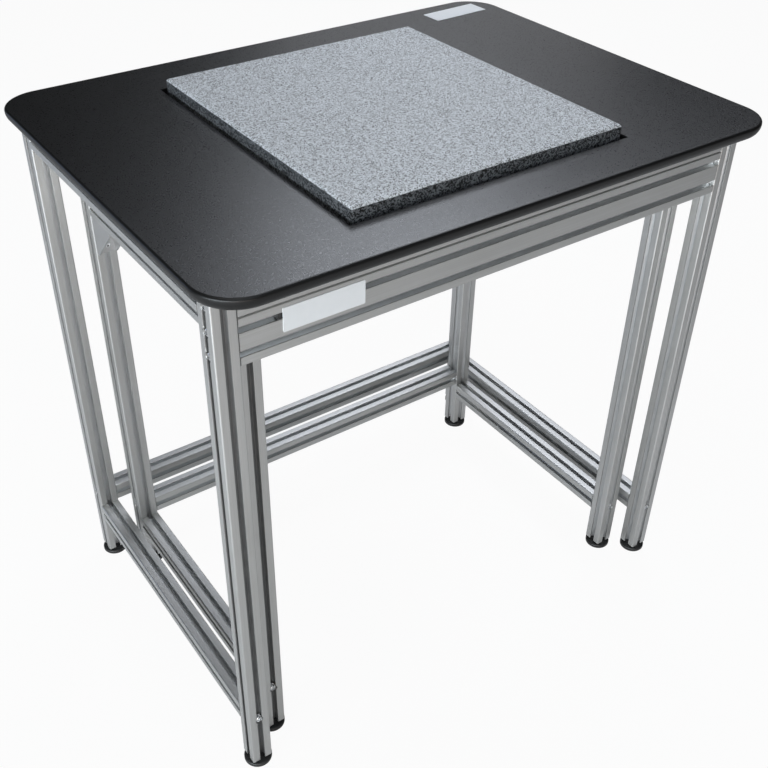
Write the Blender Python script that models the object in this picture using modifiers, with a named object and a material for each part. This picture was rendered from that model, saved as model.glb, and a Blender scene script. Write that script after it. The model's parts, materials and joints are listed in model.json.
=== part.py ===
"""Anti-vibration table for a laboratory balance.

An outer table carries the worktop, and a separate inner stand carries a stone slab that
passes through the worktop without touching it. Both are built from slotted aluminium
profile and stand on levelling feet. Metres, +Z up, X along the front edge, -Y the front.
The origin is on the floor, in the middle of the worktop.
"""

import math

import bmesh
import bpy
from mathutils import Matrix, Vector

# Clearances
seat = 0.0003                    # left between two pieces that touch
overrun = 0.010                  # how far a cutter runs past what it cuts

# Worktop
worktop_length = 0.822
worktop_depth = 0.624
worktop_height = 0.803           # its top face above the floor
worktop_thickness = 0.0185
worktop_corner_radius = 0.055
worktop_upper_round = 0.0035
worktop_under_round = 0.014

# Slotted profile
module = 0.030                   # width of one cell of the profile
arris_radius = 0.002
slot_opening = 0.008
slot_lip = 0.002                 # metal over the slot's hollow
slot_hollow = 0.0165             # the hollow's greatest width
slot_wall = 0.0025               # height of the hollow's upright wall
slot_floor = 0.0075              # width of the hollow's floor
slot_depth = 0.009
core_bore = 0.0074
chamber_skin = 0.0022            # metal round the chamber of a double profile

# Outer table
side_overhang = 0.017            # worktop past the frame at the left and right
front_overhang = 0.0445          # and at the front and back
outer_side_rail_height = 0.100   # middle of a lower rail above the floor
back_rail_step = 0.002           # from a side rail's top to the back rail's underside

# Inner stand
stand_side_gap = 0.015           # air between the two frames
stand_front_gap = 0.010
stand_back_gap = 0.026
inner_side_rail_height = 0.0915

# Stone slab on its buffers
slab_length = 0.404              # along X
slab_thickness = 0.030
slab_chamfer = 0.0025
slab_rise = 0.016                # above the worktop
slab_gap = 0.006                 # to the edge of the cut-out
slab_front_gap = 0.0015          # from the front ring rail to the slab's front
slab_back_gap = 0.0235           # from the slab's back to the back ring rail
slab_shift = -0.003              # off the middle, to the left
buffer_height = 0.030
buffer_radius = 0.0150
buffer_plate = 0.0025
buffer_waist = 0.0015            # how far the rubber is drawn in
buffer_side_share = 0.38         # of the slab's length, from its middle
buffer_depth_share = 0.31        # of the slab's depth, from its middle

# Corner brackets, one cell long, and two cells behind under the upper side rails
bracket_leg = 0.028
stand_bracket_leg = 0.058
bracket_width = 0.028
bracket_plate = 0.003
bracket_rib = 0.003
bracket_tip = 0.004              # height of a rib at the plate's end
stand_bracket_tip = 0.006
bracket_hole = 0.0066

# Levelling feet
foot_height = 0.012              # from the floor to the end of the leg
foot_radius = 0.020
foot_base = 0.0075
foot_upper_round = 0.0016
foot_under_round = 0.0020
foot_neck_radius = 0.0095
stud_socket = 0.0080             # how deep the stud sits in the pad
stud_length = 0.048
stud_tip = 0.0010

# Smoothness, in segments
arris_segments = 3
bore_segments = 12
corner_segments = 9
round_segments = 3
foot_segments = 20
stud_segments = 14
buffer_segments = 20
smooth_angle = math.radians(35)
sharp_angle = math.radians(60)

# Heights that follow
frame_top = worktop_height - worktop_thickness
slab_top = worktop_height + slab_rise
slab_bottom = slab_top - slab_thickness
cross_top = slab_bottom - buffer_height
stand_top = cross_top - module
ring_middle = frame_top - module / 2
apron_middle = frame_top - module - module
outer_back_rail_height = outer_side_rail_height + module + back_rail_step
inner_back_rail_height = inner_side_rail_height + module + back_rail_step

# Places in plan that follow: the outer faces of each frame
outer_right = worktop_length / 2 - side_overhang
outer_back = worktop_depth / 2 - front_overhang
outer_left = -outer_right
outer_front = -outer_back
inner_right = outer_right - module - stand_side_gap
inner_left = -inner_right
inner_front = outer_front + module + stand_front_gap
inner_back = outer_back - module - stand_back_gap
slab_front = outer_front + module + slab_front_gap
slab_back = outer_back - module - slab_back_gap
slab_depth = slab_back - slab_front
slab_middle = (slab_front + slab_back) / 2

# Sides of a frame, by name: the sign along X and along Y
corners = {
    "front_left": (-1, -1),
    "front_right": (1, -1),
    "back_left": (-1, 1),
    "back_right": (1, 1),
}


def clear_scene():
    for thing in list(bpy.data.objects):
        bpy.data.objects.remove(thing, do_unlink=True)
    for group in list(bpy.data.collections):
        bpy.data.collections.remove(group)


def new_collection(name):
    group = bpy.data.collections.new(name)
    bpy.context.scene.collection.children.link(group)
    return group


def material(name, colour, roughness, metallic):
    made = bpy.data.materials.new(name)
    made.use_nodes = True
    shader = made.node_tree.nodes["Principled BSDF"]
    shader.inputs["Base Color"].default_value = (*colour, 1)
    shader.inputs["Roughness"].default_value = roughness
    shader.inputs["Metallic"].default_value = metallic
    made.diffuse_color = (*colour, 1)
    return made


def laminate():
    return material("black_laminate", (0.030, 0.031, 0.034), 0.45, 0)


def anodised():
    return material("anodised_aluminium", (0.60, 0.59, 0.57), 0.35, 1)


def cast_metal():
    return material("cast_bracket_metal", (0.62, 0.62, 0.60), 0.45, 1)


def stone():
    return material("grey_granite", (0.55, 0.58, 0.62), 0.50, 0)


def rubber():
    return material("buffer_rubber", (0.020, 0.020, 0.020), 0.75, 0)


def foot_plastic():
    return material("foot_plastic", (0.018, 0.018, 0.019), 0.50, 0)


def zinc_steel():
    return material("zinc_plated_steel", (0.70, 0.71, 0.72), 0.30, 1)


def add_object(name, mesh, place, group, parent, look):
    """Links a mesh as one named part of the table."""
    piece = bpy.data.objects.new(name, mesh)
    if not mesh.materials:
        mesh.materials.append(look)
    group.objects.link(piece)
    piece.parent = parent
    piece.location = place
    return piece


def add_empty(name, place, group, parent=None):
    marker = bpy.data.objects.new(name, None)
    marker.empty_display_size = module
    marker.location = place
    marker.parent = parent
    group.objects.link(marker)
    return marker


def local_to(parent, place):
    """A world place, in the frame of an unturned chain of empties."""
    offset = Vector(place)
    while parent is not None:
        offset -= parent.location
        parent = parent.parent
    return offset


def arc(middle, radius, start, end, segments):
    points = []
    for step in range(segments + 1):
        angle = start + (end - start) * step / segments
        points.append((middle[0] + radius * math.cos(angle),
                       middle[1] + radius * math.sin(angle)))
    return points


def circle(middle, radius, segments):
    return arc(middle, radius, 0, 2 * math.pi * (segments - 1) / segments, segments - 1)


def extruded_mesh(name, outlines, thickness):
    """A flat outline with its holes, extruded along Z and welded to one closed mesh."""
    curve = bpy.data.curves.new(name, "CURVE")
    curve.dimensions = "2D"
    curve.fill_mode = "BOTH"
    curve.extrude = thickness / 2
    for outline in outlines:
        spline = curve.splines.new("POLY")
        spline.points.add(len(outline) - 1)
        for point, (across, up) in zip(spline.points, outline):
            point.co = (across, up, 0, 1)
        spline.use_cyclic_u = True
    carrier = bpy.data.objects.new(name, curve)
    bpy.context.scene.collection.objects.link(carrier)
    view = bpy.context.evaluated_depsgraph_get()
    mesh = bpy.data.meshes.new_from_object(carrier.evaluated_get(view))
    bpy.data.objects.remove(carrier, do_unlink=True)
    shape = bmesh.new()
    shape.from_mesh(mesh)
    bmesh.ops.remove_doubles(shape, verts=shape.verts, dist=seat / 100)
    bmesh.ops.recalc_face_normals(shape, faces=shape.faces)
    shape.to_mesh(mesh)
    shape.free()
    mesh.materials.clear()
    mesh.name = name
    return mesh


def turned_mesh(name, profile, segments):
    """Radius and height pairs, from the top of the axis to its foot, turned about Z."""
    line = bpy.data.meshes.new(name)
    points = [(radius, 0, height) for radius, height in profile]
    line.from_pydata(points, [(i, i + 1) for i in range(len(points) - 1)], [])
    carrier = bpy.data.objects.new(name, line)
    bpy.context.scene.collection.objects.link(carrier)
    turn = carrier.modifiers.new("turn", "SCREW")
    turn.steps = segments
    turn.render_steps = segments
    turn.use_merge_vertices = True
    turn.merge_threshold = seat / 100
    view = bpy.context.evaluated_depsgraph_get()
    mesh = bpy.data.meshes.new_from_object(carrier.evaluated_get(view))
    bpy.data.objects.remove(carrier, do_unlink=True)
    mesh.materials.clear()
    mesh.shade_smooth()
    mesh.set_sharp_from_angle(angle=smooth_angle)
    mesh.name = name
    return mesh


def cut(piece, cutter):
    step = piece.modifiers.new("cut_" + cutter.name, "BOOLEAN")
    step.operation = "DIFFERENCE"
    step.solver = "EXACT"
    step.object = cutter


def make_cutter(name, mesh, place, group):
    cutter = bpy.data.objects.new(name, mesh)
    cutter.location = place
    cutter.display_type = "WIRE"
    cutter.hide_render = True
    group.objects.link(cutter)
    return cutter


def box_mesh(name, size):
    mesh = bpy.data.meshes.new(name)
    shape = bmesh.new()
    bmesh.ops.create_cube(shape, size=1)
    bmesh.ops.scale(shape, vec=size, verts=shape.verts)
    shape.to_mesh(mesh)
    shape.free()
    return mesh


def slot_points(middle):
    """One T-slot on a face: places along the face, and depths below it."""
    opening = slot_opening / 2
    hollow = slot_hollow / 2
    floor = slot_floor / 2
    shoulder = slot_lip + slot_wall
    half = [(opening, 0), (opening, slot_lip), (hollow, slot_lip), (hollow, shoulder),
            (floor, slot_depth)]
    left = [(middle - along, depth) for along, depth in half]
    right = [(middle + along, depth) for along, depth in reversed(half)]
    return left + right


def cell_middles(cells):
    return [(index - (cells - 1) / 2) * module for index in range(cells)]


def profile_outlines(cells_wide, cells_high):
    """The section of the slotted profile, one cell or two on each side."""
    half_wide = cells_wide * module / 2
    half_high = cells_high * module / 2
    outline = []
    faces = [(half_high, half_wide, cells_wide), (half_wide, half_high, cells_high)] * 2
    for turn, (out, along_half, cells) in enumerate(faces):
        spin = Matrix.Rotation(turn * math.pi / 2, 2)
        face = []
        for middle in cell_middles(cells):
            face += [(along, depth - out) for along, depth in slot_points(middle)]
        bend = (along_half - arris_radius, arris_radius - out)
        face += arc(bend, arris_radius, -math.pi / 2, 0, arris_segments)
        outline += [tuple(spin @ Vector(point)) for point in face]
    outlines = [outline]
    for across in cell_middles(cells_wide):
        for up in cell_middles(cells_high):
            outlines.append(circle((across, up), core_bore / 2, bore_segments))
    if cells_high > 1:
        wide = half_wide - chamber_skin
        high = (module - slot_hollow) / 2 - chamber_skin
        outlines.append([(-wide, -high), (wide, -high), (wide, high), (-wide, high)])
    return outlines


def profile_mesh(name, length, cells_high=1):
    return extruded_mesh(name, profile_outlines(1, cells_high), length)


def lay_along_x(piece):
    piece.rotation_euler = (math.pi / 2, 0, math.pi / 2)


def lay_along_y(piece):
    piece.rotation_euler = (math.pi / 2, 0, math.pi)


def add_legs(prefix, left, right, front, back, top, group, parent, look):
    """Four uprights at the corners of a frame, from the feet up."""
    mesh = profile_mesh(prefix + "_leg", top - foot_height)
    middle = (top + foot_height) / 2
    for corner, (side, end) in corners.items():
        across = left + module / 2 if side < 0 else right - module / 2
        along = front + module / 2 if end < 0 else back - module / 2
        place = local_to(parent, (across, along, middle))
        add_object(prefix + "_leg_" + corner, mesh, place, group, parent, look)


def add_side_rails(name, left, right, front, back, height, cells, group, parent, look):
    """A left and a right rail along Y, between the legs."""
    length = back - front - 2 * module - 2 * seat
    mesh = profile_mesh(name, length, cells)
    for side, across in (("left", left + module / 2), ("right", right - module / 2)):
        place = local_to(parent, (across, (front + back) / 2, height))
        rail = add_object(name + "_" + side, mesh, place, group, parent, look)
        lay_along_y(rail)


def add_long_rail(name, left, right, along, height, cells, group, parent, look):
    """One rail along X, between the legs."""
    mesh = profile_mesh(name, right - left - 2 * module - 2 * seat, cells)
    place = local_to(parent, ((left + right) / 2, along, height))
    rail = add_object(name, mesh, place, group, parent, look)
    lay_along_x(rail)


def add_outer_frame(group, parent, look):
    sides = (outer_left, outer_right, outer_front, outer_back)
    top = frame_top - seat
    ring = ring_middle - seat
    front = outer_front + module / 2
    back = outer_back - module / 2
    add_legs("outer", *sides, top, group, parent, look)
    add_side_rails("ring_rail", *sides, ring, 1, group, parent, look)
    add_long_rail("ring_rail_front", outer_left, outer_right, front, ring, 1,
                  group, parent, look)
    add_long_rail("ring_rail_back", outer_left, outer_right, back, ring, 1,
                  group, parent, look)
    add_long_rail("apron_front", outer_left, outer_right, front,
                  apron_middle - 2 * seat, 2, group, parent, look)
    add_side_rails("outer_low_rail", *sides, outer_side_rail_height, 1,
                   group, parent, look)
    add_long_rail("outer_low_rail_back", outer_left, outer_right, back,
                  outer_back_rail_height, 1, group, parent, look)


def add_inner_frame(group, parent, look):
    sides = (inner_left, inner_right, inner_front, inner_back)
    top = stand_top - seat
    back = inner_back - module / 2
    add_legs("inner", *sides, top, group, parent, look)
    add_side_rails("inner_top_rail", *sides, top - module, 2, group, parent, look)
    add_side_rails("inner_low_rail", *sides, inner_side_rail_height, 1,
                   group, parent, look)
    add_long_rail("inner_low_rail_back", inner_left, inner_right, back,
                  inner_back_rail_height, 1, group, parent, look)
    mesh = profile_mesh("cross_rail", inner_right - inner_left)
    for end, along in cross_rail_places():
        place = local_to(parent, (0, along, cross_top - module / 2))
        rail = add_object("cross_rail_" + end, mesh, place, group, parent, look)
        lay_along_x(rail)


def cross_rail_places():
    """Middles of the two rails that carry the slab, which lie across the side rails."""
    reach = buffer_depth_share * slab_depth
    return (("front", slab_middle - reach), ("back", slab_middle + reach))


def bracket_mesh(name, leg, end_height, holes, cutters):
    """A cast angle bracket: two plates and two ribs, its corner at the origin."""
    near = seat
    far = seat + leg
    tip = seat + end_height
    outline = [(near, near), (far, near), (far, tip), (tip, far), (near, far)]
    body = bpy.data.objects.new(name, extruded_mesh(name, [outline], bracket_width))
    bpy.context.scene.collection.objects.link(body)
    inside = seat + bracket_plate
    beyond = far + overrun
    pocket = [(inside, inside), (beyond, inside), (inside, beyond)]
    pocket_mesh = extruded_mesh("bracket_pocket", [pocket], bracket_width - 2 * bracket_rib)
    cut(body, make_cutter("bracket_pocket", pocket_mesh, (0, 0, 0), cutters))
    hole = [circle((0, 0), bracket_hole / 2, bore_segments)]
    hole_mesh = extruded_mesh("bracket_hole", hole, bracket_plate + 2 * overrun)
    for middle in holes:
        for turn, place in (((0, math.pi / 2, 0), (0, middle, 0)),
                            ((math.pi / 2, 0, 0), (middle, 0, 0))):
            drill = make_cutter("bracket_hole", hole_mesh, place, cutters)
            drill.rotation_euler = turn
            cut(body, drill)
    view = bpy.context.evaluated_depsgraph_get()
    mesh = bpy.data.meshes.new_from_object(body.evaluated_get(view))
    bpy.data.objects.remove(body, do_unlink=True)
    mesh.materials.clear()
    mesh.name = name
    return mesh


def add_bracket(name, mesh, place, first, second, group, parent, look):
    """Lays the plates along two world directions, from the corner they share."""
    piece = add_object(name, mesh, local_to(parent, place), group, parent, look)
    along = Vector(first)
    up = Vector(second)
    turn = Matrix((along, up, along.cross(up))).transposed()
    piece.rotation_euler = turn.to_euler()


def add_ring_brackets(mesh, group, parent, look):
    """One in each inner corner of the top ring, tying two rails past the leg."""
    middle = ring_middle - seat
    for corner, (side, end) in corners.items():
        place = (side * (outer_right - module), end * (outer_back - module), middle)
        first = (-side, 0, 0)
        second = (0, -end, 0)
        if side == end:
            ahead, aside = first, second
        else:
            ahead, aside = second, first
        add_bracket("bracket_ring_" + corner, mesh, place, ahead, aside,
                    group, parent, look)


def add_stand_brackets(small, large, group, parent, look):
    """Under the upper side rails, against the legs. The back ones are the large ones."""
    height = stand_top - seat - 2 * module
    for corner, (side, end) in corners.items():
        across = side * (inner_right - module / 2)
        along = inner_front + module if end < 0 else inner_back - module
        mesh = small if end < 0 else large
        add_bracket("bracket_stand_" + corner, mesh, (across, along, height),
                    (0, -end, 0), (0, 0, -1), group, parent, look)


def add_cross_brackets(mesh, group, parent, look):
    """On the upper side rails, against the rails that carry the slab."""
    for end, along in cross_rail_places():
        inward = 1 if end == "front" else -1
        for side, across in (("left", inner_left + module / 2),
                             ("right", inner_right - module / 2)):
            place = (across, along + inward * module / 2, stand_top - seat)
            add_bracket("bracket_cross_" + end + "_" + side, mesh, place,
                        (0, inward, 0), (0, 0, 1), group, parent, look)


def rounded_rectangle(length, depth, radius):
    points = []
    for turn in range(4):
        side = 1 if turn in (0, 3) else -1
        end = 1 if turn < 2 else -1
        middle = (side * (length / 2 - radius), end * (depth / 2 - radius))
        start = turn * math.pi / 2
        points += arc(middle, radius, start, start + math.pi / 2, corner_segments)
    return points


def add_worktop(group, parent, cutters, look):
    """The board: rounded corners, a softened upper edge, an undercut lower edge."""
    outline = rounded_rectangle(worktop_length, worktop_depth, worktop_corner_radius)
    mesh = extruded_mesh("worktop", [outline], worktop_thickness)
    shape = bmesh.new()
    shape.from_mesh(mesh)
    weight = shape.edges.layers.float.new("bevel_weight_edge")
    widest = max(worktop_upper_round, worktop_under_round)
    for edge in shape.edges:
        if edge.calc_face_angle() > sharp_angle:
            upper = edge.verts[0].co.z > 0
            width = worktop_upper_round if upper else worktop_under_round
            edge[weight] = width / widest
    shape.to_mesh(mesh)
    shape.free()
    height = worktop_height - worktop_thickness / 2
    board = add_object("worktop", mesh, local_to(parent, (0, 0, height)), group, parent, look)
    soften = board.modifiers.new("edges", "BEVEL")
    soften.limit_method = "WEIGHT"
    soften.width = widest
    soften.segments = round_segments
    size = (slab_length + 2 * slab_gap, slab_depth + 2 * slab_gap,
            worktop_thickness + 2 * overrun)
    place = (slab_shift, slab_middle, height)
    cut(board, make_cutter("slab_opening", box_mesh("slab_opening", size), place, cutters))


def add_slab(group, parent, look):
    mesh = box_mesh("granite_slab", (slab_length, slab_depth, slab_thickness))
    place = (slab_shift, slab_middle, slab_top - slab_thickness / 2)
    slab = add_object("granite_slab", mesh, local_to(parent, place), group, parent, look)
    ease = slab.modifiers.new("chamfer", "BEVEL")
    ease.limit_method = "ANGLE"
    ease.width = slab_chamfer
    ease.segments = 1


def buffer_profile():
    """A rubber cylinder between two plates, drawn in at its middle."""
    top = buffer_height / 2 - seat
    plate = top - buffer_plate
    waist = buffer_radius - buffer_waist
    return [(0, top), (buffer_radius, top), (buffer_radius, plate), (waist, plate),
            (waist - buffer_waist, 0), (waist, -plate), (buffer_radius, -plate),
            (buffer_radius, -top), (0, -top)]


def add_buffers(group, parent, look):
    mesh = turned_mesh("slab_buffer", buffer_profile(), buffer_segments)
    reach = buffer_side_share * slab_length
    middle = slab_bottom - buffer_height / 2
    for end, along in cross_rail_places():
        for side, across in (("left", slab_shift - reach), ("right", slab_shift + reach)):
            place = local_to(parent, (across, along, middle))
            add_object("slab_buffer_" + end + "_" + side, mesh, place, group, parent, look)


def pad_profile():
    """The foot's pad, with the socket for its stud. Heights start at the floor."""
    top = foot_height - seat
    socket = core_bore / 2
    shelf = foot_base - foot_upper_round
    profile = [(0, top - stud_socket), (socket, top - stud_socket), (socket, top),
               (foot_neck_radius, top), (foot_neck_radius, foot_base)]
    shoulder = arc((foot_radius - foot_upper_round, shelf), foot_upper_round,
                   math.pi / 2, 0, round_segments)
    profile += shoulder
    profile += [(foot_radius, foot_under_round), (foot_radius - foot_under_round, 0), (0, 0)]
    return profile


def stud_profile():
    """The threaded stud at its core diameter. Heights start at the pad's socket."""
    radius = core_bore / 2 - seat
    bottom = seat
    top = stud_length
    return [(0, top), (radius - stud_tip, top), (radius, top - stud_tip),
            (radius, bottom), (0, bottom)]


def add_feet(prefix, left, right, front, back, group, parent, plastic, steel):
    """A pad that slides along each leg's axis, and the stud that turns in it."""
    pad_mesh = turned_mesh(prefix + "_foot_pad", pad_profile(), foot_segments)
    stud_mesh = turned_mesh(prefix + "_foot_stud", stud_profile(), stud_segments)
    socket = foot_height - seat - stud_socket
    for corner, (side, end) in corners.items():
        across = left + module / 2 if side < 0 else right - module / 2
        along = front + module / 2 if end < 0 else back - module / 2
        place = local_to(parent, (across, along, 0))
        axis = add_empty(prefix + "_foot_axis_" + corner, place, group, parent)
        add_object(prefix + "_foot_pad_" + corner, pad_mesh, (0, 0, 0), group, axis, plastic)
        add_object(prefix + "_foot_stud_" + corner, stud_mesh, (0, 0, socket), group, axis,
                   steel)


def build():
    clear_scene()
    group = new_collection("anti_vibration_table")
    cutters = new_collection("cutters")
    inner = add_empty("inner_stand", (0, (inner_front + inner_back) / 2, 0), group)
    outer = add_empty("outer_table", (0, 0, 0), group)
    profile = anodised()
    cast = cast_metal()
    plastic = foot_plastic()
    steel = zinc_steel()
    bracket = bracket_mesh("corner_bracket", bracket_leg, bracket_tip, [module / 2], cutters)
    stand_bracket = bracket_mesh("stand_bracket", stand_bracket_leg, stand_bracket_tip,
                                 [module / 2, module / 2 + module], cutters)
    add_inner_frame(group, inner, profile)
    add_stand_brackets(bracket, stand_bracket, group, inner, cast)
    add_cross_brackets(bracket, group, inner, cast)
    add_buffers(group, inner, rubber())
    add_slab(group, inner, stone())
    add_outer_frame(group, outer, profile)
    add_ring_brackets(bracket, group, outer, cast)
    add_worktop(group, outer, cutters, laminate())
    add_feet("inner", inner_left, inner_right, inner_front, inner_back, group, inner,
             plastic, steel)
    add_feet("outer", outer_left, outer_right, outer_front, outer_back, group, outer,
             plastic, steel)


build()
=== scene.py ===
"""The finished look of the anti-vibration table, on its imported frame.

Metres, +Z up, X along the front edge, -Y the front. Each piece that replaces a solid takes
its place and its size from that solid's box.
"""

import json
import math

import bmesh
import bpy
from mathutils import Matrix, Vector

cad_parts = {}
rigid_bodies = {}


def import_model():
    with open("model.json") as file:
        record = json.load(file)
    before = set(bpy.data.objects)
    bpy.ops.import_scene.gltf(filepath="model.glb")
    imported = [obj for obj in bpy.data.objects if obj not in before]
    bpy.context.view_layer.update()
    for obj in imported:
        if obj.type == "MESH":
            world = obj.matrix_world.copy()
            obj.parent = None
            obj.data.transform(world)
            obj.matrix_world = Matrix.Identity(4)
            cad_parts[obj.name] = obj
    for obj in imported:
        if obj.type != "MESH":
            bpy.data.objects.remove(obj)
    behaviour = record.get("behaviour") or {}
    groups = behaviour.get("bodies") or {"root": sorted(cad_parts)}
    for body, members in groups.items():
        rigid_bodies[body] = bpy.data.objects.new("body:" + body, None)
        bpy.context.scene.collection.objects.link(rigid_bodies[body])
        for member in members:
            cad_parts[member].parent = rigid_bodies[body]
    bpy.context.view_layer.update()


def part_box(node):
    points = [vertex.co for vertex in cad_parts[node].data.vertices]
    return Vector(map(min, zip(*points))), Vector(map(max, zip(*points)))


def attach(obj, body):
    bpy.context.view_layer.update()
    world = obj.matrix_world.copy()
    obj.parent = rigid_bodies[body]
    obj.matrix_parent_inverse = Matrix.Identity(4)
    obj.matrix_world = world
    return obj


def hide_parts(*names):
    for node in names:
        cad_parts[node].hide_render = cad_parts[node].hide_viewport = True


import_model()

MM = 0.001

# Two places that are closer than this are the same
TOUCH = 0.1 * MM

# Slotted profile, as in the solids, with the small roundings of the real section
CELL = 30 * MM
ARRIS = 2 * MM
ARRIS_STEPS = 5
SLOT_OPENING = 8 * MM
SLOT_LIP = 2 * MM
SLOT_HOLLOW = 16.5 * MM
SLOT_WALL = 2.5 * MM
SLOT_FLOOR = 7.5 * MM
SLOT_DEPTH = 9 * MM
LIP_ROUND = 0.5 * MM
INNER_ROUND = 0.8 * MM
BORE = 7.4 * MM
HOLE_SIDES = 28
CHAMBER_SKIN = 2.2 * MM

# Screws through the legs, in counterbores, each turned a little from the one before it
HEAD_RADIUS = 5.2 * MM
HEAD_HEIGHT = 6.6 * MM
HEAD_ROUND = 2.6 * MM
HEAD_UNDER_ROUND = 0.3 * MM
SOCKET_RADIUS = 2.4 * MM
SOCKET_DEPTH = 2.4 * MM
COUNTERBORE_RADIUS = 6.0 * MM
COUNTERBORE_DEPTH = 7.6 * MM
SCREW_TURN = 0.4
BRACKET_SCREW_SHARE = 0.8

# Worktop: a face that looks less squarely up than EDGE_BELOW belongs to its edge
WORKTOP_CORNER = 55 * MM
UPPER_ROUND = 3.5 * MM
UNDER_ROUND = 14 * MM
OPENING_ROUND = 0.6 * MM
EDGE_BELOW = 0.995

# Slab: its sides are rough, with a rim of its face, and a face that looks less up than
# SAWN_BELOW is a sawn one
SLAB_GAP = 6 * MM
SLAB_CHAMFER = 2.5 * MM
SLAB_CELL = 5 * MM
SLAB_ROUGHNESS = 0.6 * MM
SLAB_ROUGH_RIM = 3 * MM
SLAB_GRAIN = 6 * MM
SAWN_BELOW = 0.3

# Brackets: a plate's length, its ribs' height at the plate's end, its holes from the corner
SMALL_BRACKET = (28 * MM, 4 * MM, (15 * MM,))
LARGE_BRACKET = (58 * MM, 6 * MM, (15 * MM, 45 * MM))
BRACKET_WIDTH = 28 * MM
BRACKET_PLATE = 3 * MM
BRACKET_RIB = 3 * MM
BRACKET_HOLE = 6.6 * MM
BRACKET_ROUND = 0.6 * MM

# Buffers
BUFFER_SIDES = 56
BUFFER_PLATE = 2.5 * MM
BUFFER_PLATE_ROUND = 0.4 * MM
RUBBER_INSET = 1.5 * MM
RUBBER_WAIST = 0.9
RUBBER_ROUND = 8 * MM

# Feet
PAD_RADIUS = 20 * MM
PAD_BASE = 7.5 * MM
PAD_TOP = 11.7 * MM
PAD_ROUND = 2.2 * MM
PAD_NECK = 9.5 * MM
PAD_WELL = 8 * MM
THREAD_PITCH = 1.25 * MM
THREAD_DEPTH = 0.5 * MM
THREAD_CLEARANCE = 0.1 * MM

# Bare plates: width and height, and the places of their middles
PLATE_THICK = 0.6 * MM
PLATE_ROUND = 1.5 * MM
WORKTOP_PLATE = (101 * MM, 37 * MM)
WORKTOP_PLATE_FROM_RIGHT = 80 * MM
WORKTOP_PLATE_FROM_BACK = 46 * MM
WORKTOP_PLATE_TURN = math.radians(2.4)
APRON_PLATE = (104 * MM, 30 * MM)
APRON_PLATE_FROM_LEFT = 103.7 * MM
APRON_PLATE_FROM_BELOW = 39.1 * MM

# Slot nut in the apron
NUT_LENGTH = 20 * MM
NUT_HEIGHT = 7.6 * MM
NUT_FRONT = 0.8 * MM
NUT_BACK = 7 * MM
NUT_THREAD = 5 * MM
NUT_ROUND = 0.4 * MM
NUT_FROM_LEFT = 55.9 * MM

# Room: the white that the camera and the metal see in the floor, and the soft lamps, each
# with its bearing and height in degrees, its size, its power and its colour
FLOOR_SIZE = 60
FLOOR_DROP = 0.2 * MM
FLOOR_MATT = 0.66
SEEN_WHITE = 0.95
MIRRORED_WHITE = 0.19
SKY_STRENGTH = 0.02
LAMP_TARGET = (0, 0, 0.6)
LAMP_DISTANCE = 3.2
LAMPS = (
    ("window_right", 30, 54, (1.2, 0.9), 36, (0.88, 0.92, 1.0)),
    ("window_left", 66, 54, (1.2, 0.9), 4.5, (0.88, 0.92, 1.0)),
    ("window_middle", 54, 40, (1.0, 0.7), 11, (0.87, 0.92, 1.0)),
    ("window_low", 50, 15, (1.5, 0.4), 2, (0.97, 0.97, 1.0)),
    ("window_side", 130, 5, (1.6, 0.8), 7, (0.60, 0.72, 1.0)),
    ("wall_left", 200, 5, (1.8, 0.9), 72, (0.86, 0.95, 1.0)),
    ("wall_near", 226, 5, (1.6, 0.8), 34, (0.94, 0.97, 1.0)),
    ("warm_near", 247, -2, (2.0, 0.6), 12, (1.0, 0.82, 0.70)),
    ("ceiling_near", 256, 48, (2.0, 1.6), 14, (0.84, 0.94, 1.0)),
    ("ceiling", 200, 75, (1.8, 1.8), 15, (1.0, 0.98, 0.96)),
)

# Corners by name: the sign along X and along Y
CORNERS = {
    "front_left": (-1, -1),
    "front_right": (1, -1),
    "back_left": (-1, 1),
    "back_right": (1, 1),
}

# How a section that is drawn flat is turned, so that its length runs along an axis
AXIS_TURN = {
    "X": (math.pi / 2, 0, math.pi / 2),
    "Y": (math.pi / 2, 0, math.pi),
    "Z": (0, 0, 0),
}

# The bars whose slot walls are painted lighter or darker than the others': painted light in
# the front rails' slots, painted shade in the near legs' slots
SLOT_LOOKS = {
    "apron_front": "painted_light_slot",
    "ring_rail_front": "painted_light_slot",
    "outer_leg_front_left": "painted_shade_slot",
    "inner_leg_front_left": "painted_shade_slot",
}


# Shader formulas


class Signal:
    """A socket that takes part in formulas."""

    def __init__(self, nodes, socket):
        self.nodes = nodes
        self.socket = socket

    def combine(self, operation, first, second):
        return self.nodes.output(0, "ShaderNodeMath", {"operation": operation},
                                 {0: first, 1: second})

    def __add__(self, other):
        return self.combine("ADD", self, other)

    def __radd__(self, other):
        return self.combine("ADD", other, self)

    def __mul__(self, other):
        return self.combine("MULTIPLY", self, other)

    def __rmul__(self, other):
        return self.combine("MULTIPLY", other, self)

    def between(self, low, high):
        """0 at low, 1 at high, and straight in between."""
        return self.nodes.output("Result", "ShaderNodeMapRange", {"clamp": True},
                                 {"Value": self, "From Min": low, "From Max": high})


class Nodes:
    """A node tree, with the one way in which nodes and values are added to it."""

    def __init__(self, tree):
        self.tree = tree

    def node(self, kind, settings, sockets):
        """A new node, its settings set first, and then its sockets' values or links."""
        made = self.tree.nodes.new(kind)
        for name, value in settings.items():
            setattr(made, name, value)
        for name, value in sockets.items():
            self.join(made.inputs[name], value)
        return made

    def output(self, name, kind, settings, sockets):
        """The named output of a new node."""
        return Signal(self, self.node(kind, settings, sockets).outputs[name])

    def join(self, socket, value):
        """Links a formula to a socket, or sets a plain value on it."""
        if isinstance(value, Signal):
            self.tree.links.new(value.socket, socket)
        else:
            socket.default_value = value


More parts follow.
